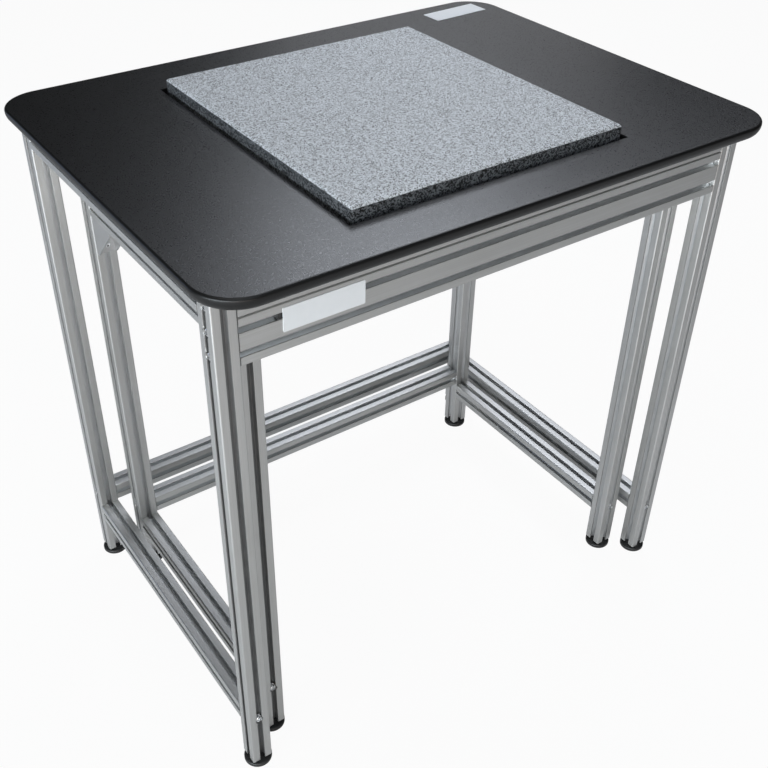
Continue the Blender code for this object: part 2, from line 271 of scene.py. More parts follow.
class Finish(Nodes):
    """One material, built from formulas on its Principled shader."""

    def __init__(self, name, metallic=0.0):
        self.look = bpy.data.materials.new(name)
        self.look.use_nodes = True
        super().__init__(self.look.node_tree)
        self.shader = self.tree.nodes["Principled BSDF"]
        self.feed("Metallic", metallic)

    def feed(self, name, value):
        self.join(self.shader.inputs[name], value)

    def place(self, stretch=(1, 1, 1)):
        """The place on the piece, scaled along each axis."""
        where = self.output("Object", "ShaderNodeTexCoord", {}, {})
        return self.output("Vector", "ShaderNodeMapping", {},
                           {"Vector": where, "Scale": stretch})

    def noise(self, scale, detail, stretch=(1, 1, 1)):
        return self.output(0, "ShaderNodeTexNoise", {},
                           {"Vector": self.place(stretch), "Scale": scale, "Detail": detail})

    def grains(self, scale):
        """One level for each grain, with no order between neighbours."""
        colour = self.output("Color", "ShaderNodeTexVoronoi", {},
                             {"Vector": self.place(), "Scale": scale})
        return self.output(0, "ShaderNodeSeparateColor", {}, {0: colour})

    def mix(self, share, first, second):
        return self.output(2, "ShaderNodeMix", {"data_type": "RGBA"},
                           {0: share, 6: first, 7: second})

    def bump(self, height, depth, strength):
        self.feed("Normal", self.output("Normal", "ShaderNodeBump", {},
                                        {"Height": height, "Distance": depth,
                                         "Strength": strength}))

    def dress(self, grain, tones, roughness, relief):
        """One grain drives the tone between two, the roughness (least, spread) and the
        relief (depth, strength)."""
        least, spread = roughness
        self.feed("Base Color", self.mix(grain, *tones))
        self.feed("Roughness", least + spread * grain)
        self.bump(grain, *relief)
        return self.look


def grey(level, tint=(1, 1, 1)):
    """A grey of this level, or one that leans to a tint."""
    return (level * tint[0], level * tint[1], level * tint[2], 1)


def anodised_finish(axis):
    """Satin natural anodising over an extruded face: fine draw lines along the bar."""
    finish = Finish("anodised_along_" + axis.lower(), metallic=1.0)
    stretch = [60, 60, 60]
    stretch["XYZ".index(axis)] = 0.5
    lines = finish.noise(scale=12, detail=3, stretch=stretch)
    cloud = finish.noise(scale=9, detail=2)
    tone = 0.6 * lines + 0.4 * cloud
    warm = grey(0.56, (1.0, 0.998, 0.975))
    light = grey(0.65, (1.0, 1.0, 0.99))
    finish.feed("Base Color", finish.mix(tone.between(0.3, 0.7), warm, light))
    finish.feed("Roughness", 0.42 + 0.10 * lines)
    finish.bump(lines, depth=0.008 * MM, strength=0.4)
    return finish.look


def slot_finish(name, level):
    """The walls inside the slots, at their own level of grey: painted light a little above the
    drawn faces, and painted lighter still or painted shade on some bars.
    """
    finish = Finish(name, metallic=1.0)
    return finish.dress(finish.noise(scale=60, detail=3),
                        tones=(grey(level, (0.97, 1, 1.02)), grey(level + 0.08)),
                        roughness=(0.36, 0.14), relief=(0.03 * MM, 0.4))


def laminate_finish():
    """Black laminate with a fine pebbled face."""
    finish = Finish("black_laminate")
    finish.feed("Specular IOR Level", 0.95)
    pebbles = finish.noise(scale=580, detail=3)
    patch = finish.noise(scale=14, detail=3)
    finish.feed("Base Color", finish.mix(patch, grey(0.001), grey(0.003, (0.98, 1, 1.03))))
    finish.feed("Roughness", 0.25 + 0.16 * pebbles.between(0.3, 0.7))
    finish.bump(pebbles, depth=0.28 * MM, strength=0.5)
    return finish.look


def edge_finish():
    """The moulded edge round the board, smoother than its face."""
    finish = Finish("worktop_edge")
    finish.feed("Specular IOR Level", 0.35)
    return finish.dress(finish.noise(scale=700, detail=2),
                        tones=(grey(0.004), grey(0.008)),
                        roughness=(0.34, 0.10), relief=(0.05 * MM, 0.4))


def granite_finish(name, scale, dark, middle, pale, mica_below):
    """Salt and pepper granite: grains between two tones, with dark mica among them."""
    finish = Finish(name)
    tone = finish.grains(scale)
    fine = finish.noise(scale=1300, detail=3)
    blotch = finish.noise(scale=55, detail=3)
    stone = finish.mix(tone.between(0.25, 0.75), middle, pale)
    mica = (0.75 * tone + 0.35 * fine).between(mica_below + 0.06, mica_below)
    speckled = finish.mix(mica, stone, dark)
    finish.feed("Base Color", finish.mix(0.2 * blotch, speckled, middle))
    finish.feed("Roughness", 0.42 + 0.2 * fine)
    finish.bump(0.5 * tone + 0.5 * fine, depth=0.35 * MM, strength=0.55)
    return finish.look


def granite_face_finish():
    """The slab's honed face."""
    return granite_finish("granite_face", scale=780, dark=grey(0.11),
                          middle=grey(0.44, (0.95, 1, 1.05)),
                          pale=grey(0.82, (0.96, 1, 1.04)), mica_below=0.31)


def granite_side_finish():
    """The slab's sawn sides, darker than its face."""
    cool = (0.94, 1, 1.07)
    return granite_finish("granite_sawn_side", scale=620, dark=grey(0.003),
                          middle=grey(0.008, cool), pale=grey(0.20, cool), mica_below=0.46)


def zinc_finish():
    """Bright zinc plating, slightly cloudy."""
    finish = Finish("bright_zinc", metallic=1.0)
    return finish.dress(finish.noise(scale=300, detail=3),
                        tones=(grey(0.70, (0.98, 1, 1.02)), grey(0.86)),
                        roughness=(0.16, 0.14), relief=(0.02 * MM, 0.4))


def cast_finish():
    """Die-cast aluminium, blasted."""
    finish = Finish("blasted_casting", metallic=1.0)
    return finish.dress(finish.noise(scale=1400, detail=2),
                        tones=(grey(0.50), grey(0.62)),
                        roughness=(0.42, 0.15), relief=(0.08 * MM, 0.5))


def moulded_finish():
    """Black glass-filled plastic with a fine spark-eroded grain."""
    finish = Finish("moulded_black")
    return finish.dress(finish.noise(scale=1200, detail=2),
                        tones=(grey(0.014), grey(0.024)),
                        roughness=(0.34, 0.16), relief=(0.06 * MM, 0.5))


def rubber_finish():
    """Black rubber, dull and slightly bloomed."""
    finish = Finish("buffer_rubber")
    return finish.dress(finish.noise(scale=500, detail=3),
                        tones=(grey(0.018), grey(0.032)),
                        roughness=(0.70, 0.15), relief=(0.08 * MM, 0.4))


def plate_finish(name, white):
    """The bare plates: white film, slightly worn, at a level of white that is set lower for
    the apron's plate as painted shade.
    """
    finish = Finish(name)
    return finish.dress(finish.noise(scale=90, detail=3),
                        tones=(grey(white, (0.97, 1, 1.02)),
                               grey(white + 0.04, (0.98, 1, 1.02))),
                        roughness=(0.34, 0.12), relief=(0.03 * MM, 0.3))


def steel_finish():
    """The slot nut's blackened steel."""
    finish = Finish("dark_nut_steel", metallic=1.0)
    return finish.dress(finish.noise(scale=400, detail=3),
                        tones=(grey(0.06), grey(0.12)),
                        roughness=(0.45, 0.15), relief=(0.04 * MM, 0.4))


LOOKS = {
    "X": anodised_finish("X"),
    "Y": anodised_finish("Y"),
    "Z": anodised_finish("Z"),
    "slot": slot_finish("anodised_slot", 0.66),
    # Lighter and darker copies of the slot finish: painted light and painted shade
    "painted_light_slot": slot_finish("anodised_slot_painted_light", 0.86),
    "painted_shade_slot": slot_finish("anodised_slot_painted_shade", 0.27),
    "laminate": laminate_finish(),
    "edge": edge_finish(),
    "stone": granite_face_finish(),
    "stone_side": granite_side_finish(),
    "zinc": zinc_finish(),
    "cast": cast_finish(),
    "moulded": moulded_finish(),
    "rubber": rubber_finish(),
    # The apron's plate is a darker copy of the same white film: painted shade
    "apron_plate_painted_shade": plate_finish("white_film", 0.74),
    "worktop_plate": plate_finish("white_film_above", 0.90),
    "steel": steel_finish(),
}


# Modelling


def deselect():
    """Leaves nothing selected."""
    for thing in bpy.context.view_layer.objects:
        thing.select_set(False)


def take(piece):
    """Makes a piece the one that the next operators work on."""
    deselect()
    piece.select_set(True)
    bpy.context.view_layer.objects.active = piece


def added(name):
    """Names the piece that an operator has just added."""
    piece = bpy.context.active_object
    piece.name = name
    piece.data.name = name
    return piece


def discard(piece):
    """Takes a master or a cutter out of the scene, once it has been used."""
    bpy.data.objects.remove(piece, do_unlink=True)


def settle():
    """Puts the active piece's place, turn and scale into its mesh."""
    bpy.ops.object.transform_apply(location=True, rotation=True, scale=True)


def cube(name, low, high):
    """A box between its lowest and its highest corner."""
    deselect()
    bpy.ops.mesh.primitive_cube_add(size=1, location=(Vector(low) + Vector(high)) / 2)
    piece = added(name)
    piece.scale = Vector(high) - Vector(low)
    settle()
    return piece


def cylinder(name, radius, low, high, sides, centre=(0, 0)):
    """A cylinder along Z between two heights."""
    deselect()
    bpy.ops.mesh.primitive_cylinder_add(vertices=sides, radius=radius, depth=high - low,
                                        location=(*centre, (low + high) / 2))
    piece = added(name)
    settle()
    return piece


def edit(piece, kind, action="DESELECT"):
    """Edit mode on vertices, edges or faces, with none or all of them selected."""
    take(piece)
    bpy.ops.object.mode_set(mode="EDIT")
    bpy.ops.mesh.select_mode(type=kind)
    bpy.ops.mesh.select_all(action=action)


def leave():
    """Back to object mode."""
    bpy.ops.object.mode_set(mode="OBJECT")


def pick(piece, kind, chosen):
    """Selects the verts, edges or faces for which chosen is true, in edit mode."""
    shape = bmesh.from_edit_mesh(piece.data)
    for group in (shape.verts, shape.edges, shape.faces):
        for part in group:
            part.select = False
    for part in getattr(shape, kind):
        if chosen(part):
            part.select_set(True)
    shape.select_flush_mode()
    bmesh.update_edit_mesh(piece.data)


def middle_of(edge):
    """The place halfway along an edge."""
    return (edge.verts[0].co + edge.verts[1].co) / 2


def is_at(place, height):
    """Whether a place is at a height."""
    return abs(place.z - height) < TOUCH


def is_upright(edge):
    """Whether an edge of a box goes up."""
    return not is_at(edge.verts[0].co, edge.verts[1].co.z)


def is_sharp(edge):
    """Whether the surface turns down by more than one radian at an edge."""
    return edge.calc_face_angle_signed(0) > 1


def bevel_where(piece, chosen, width, segments):
    """Bevels the edges for which chosen is true."""
    edit(piece, "EDGE")
    pick(piece, "edges", chosen)
    bpy.ops.mesh.bevel(offset=width, segments=segments, affect="EDGES", clamp_overlap=True)
    leave()


def bevel_rim(piece, height, width, segments):
    """Bevels the sharp edges at a height."""
    bevel_where(piece, lambda e: is_at(middle_of(e), height) and is_sharp(e),
                width, segments)


def apply_modifier(piece, kind, **settings):
    """Adds a modifier and applies it at once."""
    take(piece)
    step = piece.modifiers.new(kind.lower(), kind)
    for name, value in settings.items():
        setattr(step, name, value)
    bpy.ops.object.modifier_apply(modifier=step.name)


def round_corners(piece, width):
    """Rounds all the edges of a piece with flat faces."""
    apply_modifier(piece, "BEVEL", width=width, segments=2, limit_method="ANGLE",
                   angle_limit=math.radians(40))


def cut_with(piece, cutter):
    """Cuts a piece with another one, which then goes."""
    apply_modifier(piece, "BOOLEAN", operation="DIFFERENCE", solver="EXACT", object=cutter)
    discard(cutter)


def smooth(piece, degrees=40):
    """Shades round surfaces smooth, and keeps flat faces flat and sharp edges sharp."""
    take(piece)
    bpy.ops.object.shade_smooth_by_angle(angle=math.radians(degrees))
    apply_modifier(piece, "WEIGHTED_NORMAL", weight=100, keep_sharp=True)


def coat(piece, *names):
    """Gives a piece its finishes, the one for most of its faces first."""
    piece.data.materials.clear()
    for name in names:
        piece.data.materials.append(LOOKS[name])


def coat_second(piece, chosen):
    """Gives the faces for which chosen is true the piece's second finish."""
    for face in piece.data.polygons:
        if chosen(face):
            face.material_index = 1


def fix(piece, body, slot, *nodes):
    """Rides a finished piece on its body, and lets it stand for these solids. The slot is not
    used.
    """
    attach(piece, body)
    if nodes:
        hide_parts(*nodes)


def copy_to(piece, name, matrix):
    """A copy with its own mesh, its place in the mesh."""
    twin = bpy.data.objects.new(name, piece.data.copy())
    twin.data.name = name
    twin.data.transform(matrix)
    bpy.context.scene.collection.objects.link(twin)
    return twin


def frame_from(along, up):
    """Turns local X to along and local Y to up."""
    along = Vector(along)
    up = Vector(up)
    return Matrix((along, up, along.cross(up))).transposed().to_4x4()


def facing(out):
    """Turns local Z to a horizontal direction out."""
    return frame_from((0, 0, 1), Vector(out).cross((0, 0, 1)))


def centre_of(node):
    """The middle of a solid's box."""
    low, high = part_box(node)
    return (low + high) / 2


# The slotted profile


def rounded(corners):
    """Points of an outline whose corners are given as (place, radius, segments)."""
    points = []
    count = len(corners)
    for index, (place, radius, segments) in enumerate(corners):
        here = Vector(place)
        back = (Vector(corners[index - 1][0]) - here).normalized()
        ahead = (Vector(corners[(index + 1) % count][0]) - here).normalized()
        half = back.angle(ahead) / 2
        reach = radius / math.tan(half)
        centre = here + (back + ahead).normalized() * radius / math.sin(half)
        start = here + back * reach - centre
        sweep = (here + ahead * reach - centre).angle_signed(start)
        for step in range(segments + 1):
            spin = Matrix.Rotation(sweep * step / segments, 2)
            points.append(centre + spin @ start)
    return points


def slot_corners(along):
    """One T-slot on a face, from its left lip to its right one: each corner's place along
    the face and depth below it, with its radius and segments."""
    half = [(SLOT_OPENING / 2, 0, LIP_ROUND, 2),
            (SLOT_OPENING / 2, SLOT_LIP, LIP_ROUND / 2, 1),
            (SLOT_HOLLOW / 2, SLOT_LIP, INNER_ROUND, 2),
            (SLOT_HOLLOW / 2, SLOT_LIP + SLOT_WALL, INNER_ROUND, 2),
            (SLOT_FLOOR / 2, SLOT_DEPTH, INNER_ROUND, 2)]
    left = [((along - x, depth), radius, steps) for x, depth, radius, steps in half]
    right = [((along + x, depth), radius, steps) for x, depth, radius, steps in half]
    return left + right[::-1]


def cell_middles(count):
    """The middles of a row of cells, about the row's own middle."""
    return [(index - (count - 1) / 2) * CELL for index in range(count)]


def section(wide, high):
    """The outline of the profile and its bores, one or two cells on each side."""
    cells = (round(wide / CELL), round(high / CELL))
    outer = []
    for turn in range(4):
        upright = turn % 2
        out = (wide if upright else high) / 2
        along = (high if upright else wide) / 2
        spin = Matrix.Rotation(turn * math.pi / 2, 2)
        corners = []
        for middle in cell_middles(cells[upright]):
            corners += slot_corners(middle)
        corners.append(((along, 0), ARRIS, ARRIS_STEPS))
        for (x, depth), radius, steps in corners:
            outer.append((spin @ Vector((x, depth - out)), radius, steps))
    outlines = [rounded(outer)]
    angles = [step * 2 * math.pi / HOLE_SIDES for step in range(HOLE_SIDES)]
    for across in cell_middles(cells[0]):
        for up in cell_middles(cells[1]):
            outlines.append([Vector((across, up)) +
                             Vector((math.cos(angle), math.sin(angle))) * BORE / 2
                             for angle in angles])
    if cells[1] > 1:
        outlines.append(chamber(wide))
    return outlines


def chamber(wide):
    """The closed chamber between the two cells of the double profile."""
    x = wide / 2 - CHAMBER_SKIN
    y = (CELL - SLOT_HOLLOW) / 2 - CHAMBER_SKIN
    corners = [(-x, -y), (x, -y), (x, y), (-x, y)]
    return rounded([(place, INNER_ROUND, 3) for place in corners])


def extruded(name, outlines, length):
    """A flat outline drawn as a curve, given its length and turned into a mesh."""
    curve = bpy.data.curves.new(name, "CURVE")
    curve.dimensions = "2D"
    curve.fill_mode = "BOTH"
    curve.extrude = length / 2
    for outline in outlines:
        spline = curve.splines.new("POLY")
        spline.points.add(len(outline) - 1)
        for point, place in zip(spline.points, outline):
            point.co = (place[0], place[1], 0, 1)
        spline.use_cyclic_u = True
    piece = bpy.data.objects.new(name, curve)
    bpy.context.scene.collection.objects.link(piece)
    take(piece)
    bpy.ops.object.convert(target="MESH")
    piece = added(name)
    edit(piece, "VERT", "SELECT")
    bpy.ops.mesh.remove_doubles(threshold=0.001 * MM)
    bpy.ops.mesh.normals_make_consistent(inside=False)
    leave()
    return piece


def bar(node, axis, counterbores=()):
    """A length of profile in place of its solid, with the counterbores for its screws."""
    low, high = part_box(node)
    size = high - low
    centre = centre_of(node)
    index = "XYZ".index(axis)
    across = [other for other in range(3) if other != index]
    outlines = section(*(size[other] for other in across))
    piece = extruded(node + "_bar", outlines, size[index])
    piece.rotation_euler = AXIS_TURN[axis]
    piece.location = centre
    settle()
    for place, out in counterbores:
        tool = cylinder("counterbore", COUNTERBORE_RADIUS, -COUNTERBORE_DEPTH, CELL,
                        sides=40)
        tool.data.transform(Matrix.Translation(place) @ facing(out))
        cut_with(piece, tool)

    def in_slot(face):
        """Whether a wall runs along the bar and lies deeper than the slots' lips."""
        offset = face.center - centre
        depth = min(size[other] / 2 - abs(offset[other]) for other in across)
        return depth > SLOT_LIP + TOUCH and abs(face.normal[index]) < 0.5

    smooth(piece)
    # The slot walls take the second finish: painted light, or on the bars in SLOT_LOOKS
    # painted lighter still or painted shade
    coat(piece, axis, SLOT_LOOKS.get(node, "slot"))
    coat_second(piece, in_slot)
    return piece


def button_screw():
    """A round-headed socket screw, its head's underside at the origin and facing +Z."""
    head = cylinder("button_screw", HEAD_RADIUS, 0, HEAD_HEIGHT, sides=40)
    bevel_rim(head, HEAD_HEIGHT, HEAD_ROUND, segments=6)
    cut_with(head, cylinder("socket", SOCKET_RADIUS, HEAD_HEIGHT - SOCKET_DEPTH,
                            HEAD_HEIGHT + MM, sides=6))
    bevel_rim(head, 0, HEAD_UNDER_ROUND, segments=2)
    smooth(head, degrees=35)
    coat(head, "zinc")
    return head


def leg_screws(leg, outward):
    """Places on a leg's outer faces, with the direction that each screw's head faces."""
    centre = centre_of(leg)
    ways = {"side": (math.copysign(1, centre.x), 0, 0), "front": (0, -1, 0), "back": (0, 1, 0)}
    places = []
    for side, heights in outward.items():
        out = Vector(ways[side])
        face = centre + out * CELL / 2
        for height in heights:
            places.append((Vector((face.x, face.y, height)), out))
    return places


def bore_heights(node):
    """Heights of a rail's core bores."""
    low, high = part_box(node)
    count = round((high.z - low.z) / CELL)
    return [low.z + (index + 0.5) * CELL for index in range(count)]


def screw_plan():
    """For each leg, the faces that carry screws and their heights."""
    plan = {}
    front_ring = bore_heights("ring_rail_front") + bore_heights("apron_front")
    back_ring = bore_heights("ring_rail_back") + bore_heights("outer_low_rail_back")
    stand = bore_heights("inner_low_rail_left") + bore_heights("inner_top_rail_left")
    for corner, (_, end) in CORNERS.items():
        face = "front" if end < 0 else "back"
        plan["outer_leg_" + corner] = {face: bore_heights("outer_low_rail_left"),
                                       "side": front_ring if end < 0 else back_ring}
        plan["inner_leg_" + corner] = {face: stand}
        if end > 0:
            plan["inner_leg_" + corner]["side"] = bore_heights("inner_low_rail_back")
    return plan


def make_legs(screw):
    """The eight legs, with the screws that hold the rails between them."""
    for leg, outward in screw_plan().items():
        body = "outer_table" if leg.startswith("outer") else "inner_stand"
        places = leg_screws(leg, outward)
        piece = bar(leg, "Z", places)
        fix(piece, body, "profile_aluminium", leg)
        for index, (place, out) in enumerate(places):
            seat = place - out * COUNTERBORE_DEPTH
            turn = Matrix.Rotation(SCREW_TURN * index, 4, "Z")
            head = copy_to(screw, f"{leg}_screw_{index + 1}",
                           Matrix.Translation(seat) @ facing(out) @ turn)
            fix(head, body, "zinc_steel")


def make_rails():
    """The rails of both frames, by the axis along which they run."""
    rails = {
        "X": ["ring_rail_front", "ring_rail_back", "apron_front", "outer_low_rail_back",
              "cross_rail_front", "cross_rail_back", "inner_low_rail_back"],
        "Y": ["ring_rail_left", "ring_rail_right", "outer_low_rail_left",
              "outer_low_rail_right", "inner_top_rail_left", "inner_top_rail_right",
              "inner_low_rail_left", "inner_low_rail_right"],
    }
    for axis, nodes in rails.items():
        for node in nodes:
            inner = node.startswith(("inner", "cross"))
            piece = bar(node, axis)
            fix(piece, "inner_stand" if inner else "outer_table", "profile_aluminium", node)


# Worktop and slab


def make_worktop():
    """The board, with its corners, its two rounds and the cut-out for the slab."""
    low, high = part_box("worktop")
    board = cube("worktop_board", low, high)
    bevel_where(board, is_upright, WORKTOP_CORNER, segments=28)
    bevel_rim(board, high.z, UPPER_ROUND, segments=5)
    bevel_rim(board, low.z, UNDER_ROUND, segments=10)
    slab_low, slab_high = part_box("granite_slab")
    gap = Vector((SLAB_GAP, SLAB_GAP, 0))
    near = slab_low - gap
    far = slab_high + gap
    cut_with(board, cube("opening", (near.x, near.y, low.z - CELL),
                         (far.x, far.y, high.z + CELL)))
    bevel_rim(board, high.z, OPENING_ROUND, segments=2)
    smooth(board, degrees=30)
    coat(board, "laminate", "edge")
    coat_second(board, lambda face: face.normal.z < EDGE_BELOW)
    fix(board, "outer_table", "laminate_board", "worktop")


def make_slab():
    """The slab: eased edges, a flat face, and sides that the saw has left rough."""
    low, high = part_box("granite_slab")
    slab = cube("granite_slab_stone", low, high)
    bevel_where(slab, is_upright, SLAB_CHAMFER, segments=2)
    bevel_rim(slab, high.z, SLAB_CHAMFER, segments=1)
    for index in range(3):
        slice_evenly(slab, index, round((high[index] - low[index]) / SLAB_CELL))
    rough = slab.vertex_groups.new(name="rough")
    for vertex in slab.data.vertices:
        side = min(vertex.co.x - low.x, high.x - vertex.co.x,
                   vertex.co.y - low.y, high.y - vertex.co.y)
        if side < SLAB_ROUGH_RIM and not is_at(vertex.co, low.z):
            rough.add([vertex.index], 1, "REPLACE")
    grain = bpy.data.textures.new("sawn_stone", "CLOUDS")
    grain.noise_scale = SLAB_GRAIN
    grain.noise_depth = 3
    apply_modifier(slab, "DISPLACE", texture=grain, strength=SLAB_ROUGHNESS, mid_level=1.0,
                   texture_coords="LOCAL", vertex_group="rough")
    smooth(slab, degrees=25)
    coat(slab, "stone", "stone_side")
    coat_second(slab, lambda face: face.normal.z < SAWN_BELOW)
    fix(slab, "stone_slab", "granite", "granite_slab")


def slice_evenly(piece, index, count):
    """Cuts a piece across an axis into slices of equal thickness, and keeps it whole."""
    places = [vertex.co[index] for vertex in piece.data.vertices]
    low = min(places)
    high = max(places)
    normal = [0, 0, 0]
    normal[index] = 1
    edit(piece, "FACE")
    for step in range(1, count):
        place = [0, 0, 0]
        place[index] = low + (high - low) * step / count
        bpy.ops.mesh.select_all(action="SELECT")
        bpy.ops.mesh.bisect(plane_co=place, plane_no=normal)
    leave()


# Brackets, buffers and feet


def cast_bracket(name, leg, tip, holes):
    """A cast angle bracket with two ribs, its inner corner at the origin."""
    body = cube(name, (0, 0, -BRACKET_WIDTH / 2), (leg, leg, BRACKET_WIDTH / 2))
    edit(body, "FACE", "SELECT")
    bpy.ops.mesh.bisect(plane_co=(leg, tip, 0), plane_no=(1, 1, 0), use_fill=True,
                        clear_outer=True)
    leave()
    inside = BRACKET_WIDTH / 2 - BRACKET_RIB
    cut_with(body, cube("pocket", (BRACKET_PLATE, BRACKET_PLATE, -inside),
                        (leg * 2, leg * 2, inside)))
    for hole in holes:
        for turn, place in (((0, math.pi / 2, 0), (0, hole, 0)),
                            ((math.pi / 2, 0, 0), (hole, 0, 0))):
            drill = cylinder("drill", BRACKET_HOLE / 2, -leg / 4, leg / 4, HOLE_SIDES)
            drill.rotation_euler = turn
            drill.location = place
            cut_with(body, drill)
    round_corners(body, BRACKET_ROUND)
    smooth(body)
    coat(body, "cast")
    return body


def bracket_plan():
    """Each bracket's solid, its body, and the two directions of its plates."""
    plan = []
    for corner, (side, end) in CORNERS.items():
        across = Vector((-side, 0, 0))
        along = Vector((0, -end, 0))
        pair = (across, along) if side == end else (along, across)
        plan.append(("bracket_ring_" + corner, "outer_table", *pair))
        plan.append(("bracket_stand_" + corner, "inner_stand", along, Vector((0, 0, -1))))
        plan.append(("bracket_cross_" + corner, "inner_stand", along, Vector((0, 0, 1))))
    return plan


def make_brackets(screw):
    """The brackets, each with a screw through every hole of its two plates."""
    small = cast_bracket("corner_bracket", *SMALL_BRACKET)
    large = cast_bracket("stand_bracket", *LARGE_BRACKET)
    shrink = Matrix.Scale(BRACKET_SCREW_SHARE, 4)
    for node, body, along, up in bracket_plan():
        low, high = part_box(node)
        size = high - low
        corner = (centre_of(node) - along * abs(size.dot(along)) / 2 -
                  up * abs(size.dot(up)) / 2)
        is_large = "stand_back" in node
        piece = copy_to(large if is_large else small, node + "_cast",
                        Matrix.Translation(corner) @ frame_from(along, up))
        fix(piece, body, "cast_bracket", node)
        holes = (LARGE_BRACKET if is_large else SMALL_BRACKET)[-1]
        for number, hole in enumerate(holes):
            for name, out, where in (("a", up, along), ("b", along, up)):
                seat = corner + where * hole + out * BRACKET_PLATE
                lean = out.to_track_quat("Z", "Y").to_matrix().to_4x4()
                head = copy_to(screw, f"{node}_screw_{name}{number + 1}",
                               Matrix.Translation(seat) @ lean @ shrink)
                fix(head, body, "zinc_steel")
    discard(small)
    discard(large)


def waisted_rubber(name, radius, low, high, centre):
    """A rubber cylinder that is drawn in at its middle height."""
    rubber = cylinder(name, radius, low, high, BUFFER_SIDES, (centre.x, centre.y))
    edit(rubber, "FACE", "SELECT")
    bpy.ops.mesh.bisect(plane_co=centre, plane_no=(0, 0, 1))
    leave()
    edit(rubber, "VERT")
    pick(rubber, "verts", lambda v: is_at(v.co, centre.z))
    bpy.ops.transform.resize(value=(RUBBER_WAIST, RUBBER_WAIST, 1), center_override=centre)
    leave()
    bevel_where(rubber, lambda e: is_at(middle_of(e), centre.z), RUBBER_ROUND, segments=6)
    smooth(rubber)
    coat(rubber, "rubber")
    return rubber


def make_buffers():
    """Rubber between two steel plates, under the slab."""
    for corner in CORNERS:
        node = "slab_buffer_" + corner
        low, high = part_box(node)
        centre = centre_of(node)
        radius = (high.x - low.x) / 2
        rubber = waisted_rubber(node + "_rubber", radius - RUBBER_INSET,
                                low.z + BUFFER_PLATE, high.z - BUFFER_PLATE, centre)
        fix(rubber, "inner_stand", "buffer_rubber", node)
        for name, base in (("lower", low.z), ("upper", high.z - BUFFER_PLATE)):
            disc = cylinder(f"{node}_{name}_plate", radius, base, base + BUFFER_PLATE,
                            BUFFER_SIDES, (centre.x, centre.y))
            bevel_where(disc, is_sharp, BUFFER_PLATE_ROUND, segments=2)
            smooth(disc)
            coat(disc, "zinc")
            fix(disc, "inner_stand", "buffer_rubber")


def pad_piece():
    """The foot's pad, on the floor at the origin: base, neck, and the stud's well."""
    pad = cylinder("foot_pad", PAD_RADIUS, 0, PAD_BASE, sides=64)
    edit(pad, "FACE")
    pick(pad, "faces", lambda face: face.normal.z > 0.9)
    bpy.ops.mesh.inset(thickness=PAD_RADIUS - PAD_NECK)
    bpy.ops.mesh.extrude_region_move(
        TRANSFORM_OT_translate={"value": (0, 0, PAD_TOP - PAD_BASE)})
    leave()
    bevel_rim(pad, PAD_BASE, PAD_ROUND, segments=5)
    bevel_rim(pad, 0, PAD_ROUND, segments=4)
    cut_with(pad, cylinder("well", BORE / 2, PAD_TOP - PAD_WELL, PAD_TOP + MM, sides=32))
    smooth(pad)
    coat(pad, "moulded")
    return pad


def stud_piece(length):
    """A threaded stud along Z from the origin, its crests clear of the leg's bore."""
    crest = BORE / 2 - THREAD_CLEARANCE
    root = crest - THREAD_DEPTH
    # The first turn's own height and a spare one come off the length
    turns = int(length / THREAD_PITCH) - 2
    # One turn of the thread: its radius, by shares of the pitch
    flanks = [(root, 0), (crest, 0.35), (crest, 0.5), (root, 0.85), (root, 1)]
    points = [(radius, 0, share * THREAD_PITCH) for radius, share in flanks[::-1]]
    line = bpy.data.meshes.new("thread")
    line.from_pydata(points, [(i, i + 1) for i in range(len(points) - 1)], [])
    stud = bpy.data.objects.new("foot_stud", line)
    bpy.context.scene.collection.objects.link(stud)
    apply_modifier(stud, "SCREW", angle=2 * math.pi, steps=20, render_steps=20,
                   screw_offset=THREAD_PITCH, iterations=turns,
                   use_merge_vertices=True, merge_threshold=0.01 * MM)
    edit(stud, "VERT", "SELECT")
    bpy.ops.mesh.remove_doubles(threshold=0.005 * MM)
    bpy.ops.mesh.select_mode(type="EDGE")
    pick(stud, "edges", lambda e: len(e.link_faces) == 1)
    bpy.ops.mesh.fill_holes(sides=0)
    bpy.ops.mesh.select_all(action="SELECT")
    bpy.ops.mesh.normals_make_consistent(inside=False)
    leave()
    smooth(stud, degrees=30)
    coat(stud, "zinc")
    return stud


def make_feet():
    """The four pads and studs of each frame."""
    pad = pad_piece()
    low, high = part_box("inner_foot_stud_front_left")
    stud = stud_piece(high.z - low.z)
    parts = (("pad", pad, "moulded", "foot_plastic"), ("stud", stud, "thread", "zinc_steel"))
    for side in ("inner", "outer"):
        for corner in CORNERS:
            for part, master, ending, slot in parts:
                node = f"{side}_foot_{part}_{corner}"
                centre = centre_of(node)
                place = (centre.x, centre.y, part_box(node)[0].z)
                piece = copy_to(master, f"{node}_{ending}", Matrix.Translation(place))
                fix(piece, f"{side}_{part}_{corner}", slot, node)
    discard(pad)
    discard(stud)


# Small things that show


def bare_plate(name, look, size, place, turn):
    """A thin film plate with rounded corners, its back at the place."""
    half = Vector((*size, 0)) / 2
    piece = cube(name, -half, half + Vector((0, 0, PLATE_THICK)))
    bevel_where(piece, is_upright, PLATE_ROUND, segments=5)
    bevel_rim(piece, PLATE_THICK, PLATE_THICK / 3, segments=2)
    piece.data.transform(Matrix.Translation(place) @ turn)
    smooth(piece, degrees=35)
    coat(piece, look)
    fix(piece, "outer_table", "foot_plastic")


